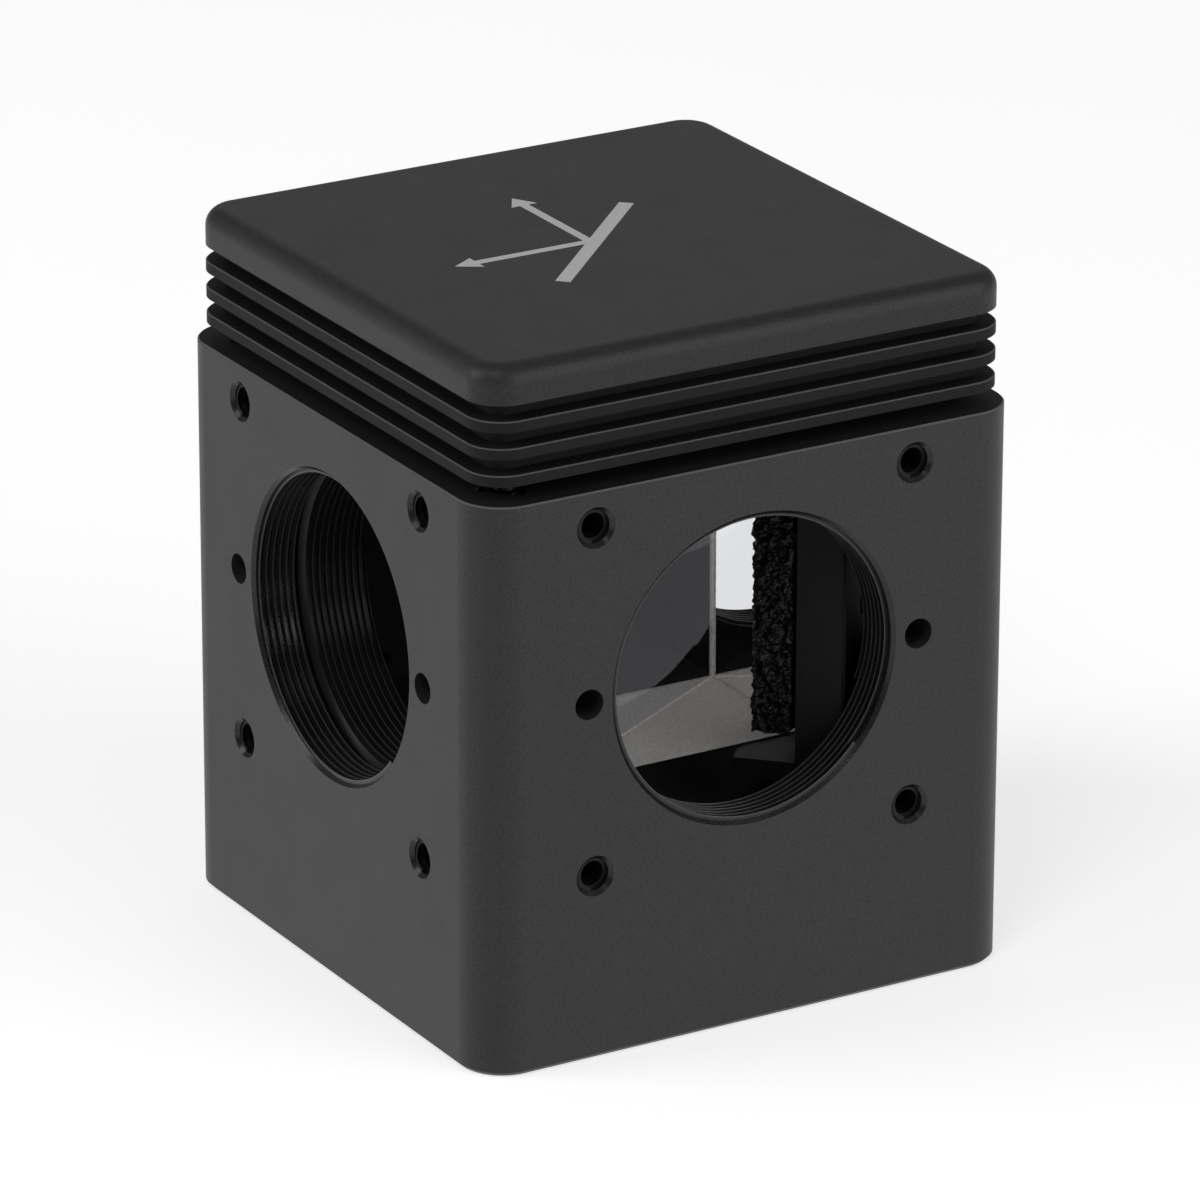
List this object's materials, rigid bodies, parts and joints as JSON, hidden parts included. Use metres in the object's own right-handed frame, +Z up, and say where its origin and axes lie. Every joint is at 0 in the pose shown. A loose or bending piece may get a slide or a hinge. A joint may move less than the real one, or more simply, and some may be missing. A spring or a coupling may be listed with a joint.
{
  "type": "optical cage cube",
  "caption": "Two-inch optical cage cube with a finned lift-out insert that carries a right-angle mirror prism; threaded ports and cage taps on every side.",
  "frame": {"origin": "centre of the underside", "axes": "+Z up; the ports face -Y, +X, +Y and -X; the beam enters at -X and leaves at +Y"},
  "size_m": [0.0508, 0.0508, 0.0606],
  "materials": {
    "anodised_base": "black anodised, fine blasted",
    "anodised_handle": "black anodised, fine blasted",
    "anodised_frame": "black anodised",
    "anodised_bracket": "black anodised",
    "optical_glass": "polished legs, ground ends, coated hypotenuse",
    "black_foam": "open-cell foam",
    "black_steel": "black oxide",
    "pin_steel": "ground",
    "ball_steel": "polished",
    "magnet_plating": "nickel plated"
  },
  "bodies": {
    "cube": {"base_cube": "anodised_base", "vee_pins_1": "pin_steel", "vee_pins_2": "pin_steel", "vee_pins_3": "pin_steel", "base_magnet_1": "magnet_plating", "base_magnet_2": "magnet_plating", "base_magnet_3": "magnet_plating", "base_magnet_4": "magnet_plating"},
    "insert": {"insert_handle": "anodised_handle", "insert_frame": "anodised_frame", "prism_bracket": "anodised_bracket", "turning_prism": "optical_glass", "foam_pad": "black_foam", "pad_screw": "black_steel", "seat_ball_1": "ball_steel", "seat_ball_2": "ball_steel", "seat_ball_3": "ball_steel", "handle_magnet_1": "magnet_plating", "handle_magnet_2": "magnet_plating", "handle_magnet_3": "magnet_plating", "handle_magnet_4": "magnet_plating", "frame_screw_1": "black_steel", "frame_screw_2": "black_steel", "frame_screw_3": "black_steel", "bracket_screw_1": "black_steel", "bracket_screw_2": "black_steel"}
  },
  "joints": [
    {"name": "insert_lift", "type": "slide", "parent": "cube", "child": "insert", "axis": [0, 0, 1], "range_m": [0, 0.045]}
  ]
}
